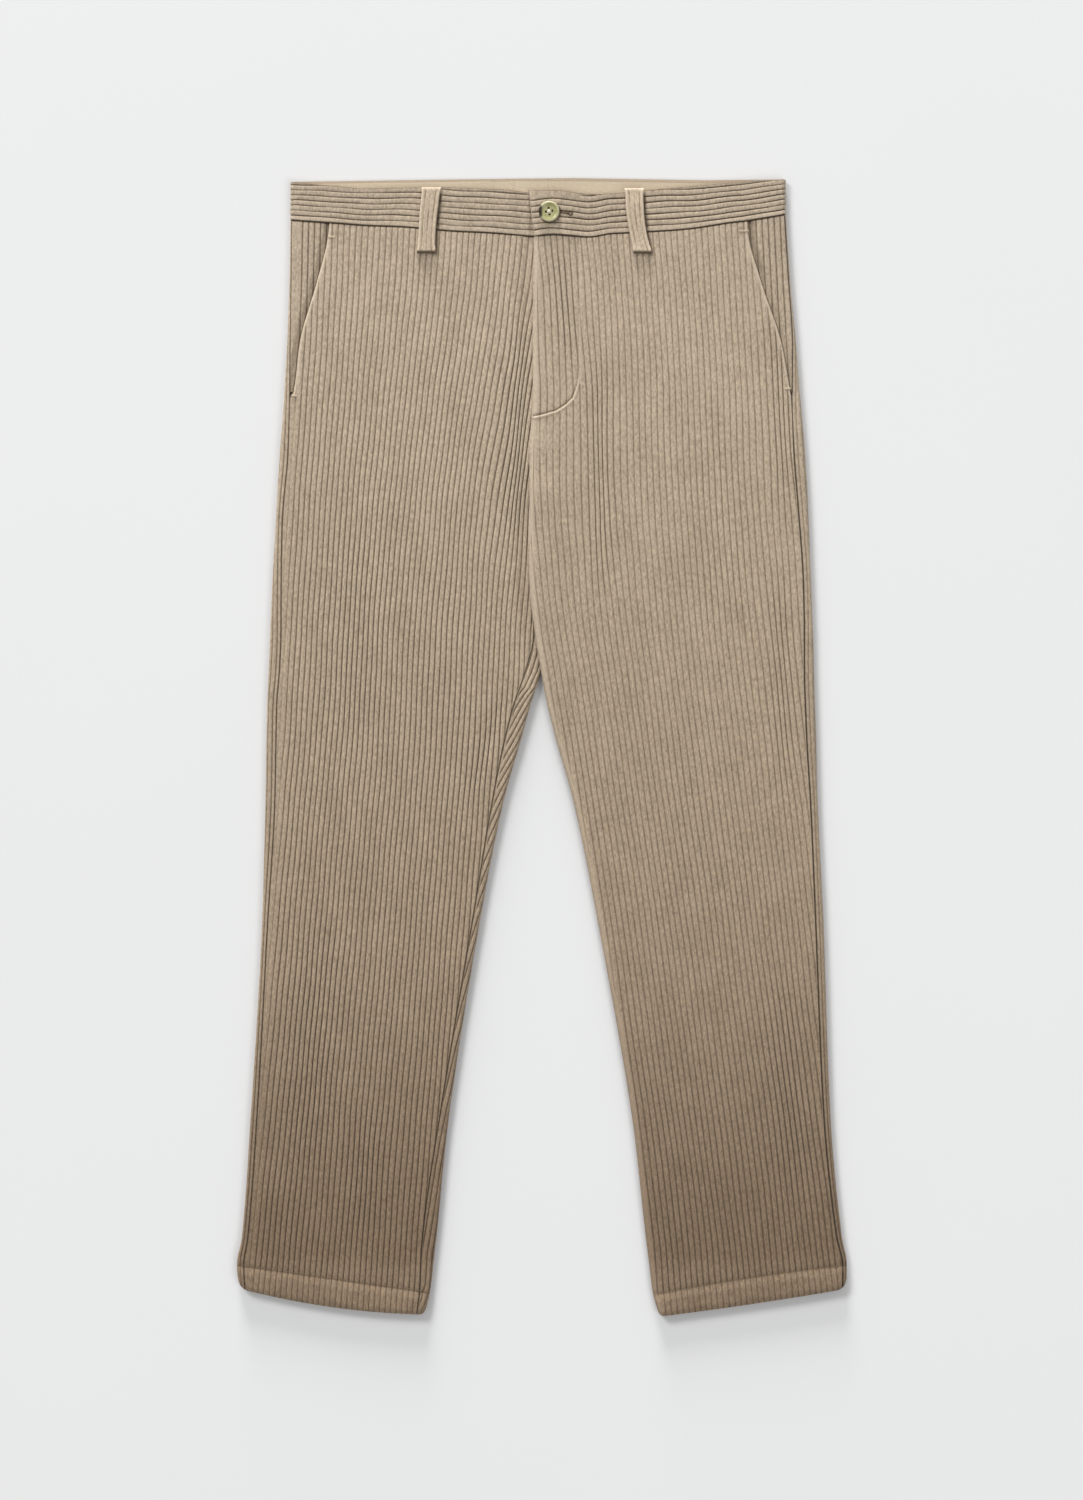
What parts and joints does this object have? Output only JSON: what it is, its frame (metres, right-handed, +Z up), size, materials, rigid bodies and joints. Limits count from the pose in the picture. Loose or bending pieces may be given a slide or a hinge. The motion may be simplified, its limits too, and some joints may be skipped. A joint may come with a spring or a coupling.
{
  "type": "corduroy trousers",
  "caption": "Straight-leg corduroy trousers laid flat, with a buttoned waistband, slanted pockets, belt loops and turned hems.",
  "frame": {"origin": "on the surface the trousers lie on, under the middle of the garment's outline", "axes": "+Y from the hems to the waist, +X to the viewer's right when looking down on the front, +Z up off the surface, through the front"},
  "size_m": [0.532, 0.9911, 0.0126],
  "materials": {
    "corduroy": "napped ribbed corduroy, heathered taupe",
    "band_corduroy": "the same corduroy with its ribs running along the band",
    "waist_facing": "plain woven cotton, pale beige",
    "loop_corduroy": "corduroy folded to a narrow strip",
    "button_horn": "polished pale horn-like resin"
  },
  "bodies": {
    "root": {"front_left": "corduroy", "front_right": "corduroy", "back_left": "corduroy", "back_right": "corduroy", "pocket_facing_left": "corduroy", "pocket_facing_right": "corduroy", "waistband_left": "band_corduroy", "waistband_right": "band_corduroy", "waistband_back_left": "band_corduroy", "waistband_back_right": "band_corduroy", "waistband_facing_back": "waist_facing", "belt_loop_left": "loop_corduroy", "belt_loop_right": "loop_corduroy", "button": "button_horn"}
  },
  "joints": []
}
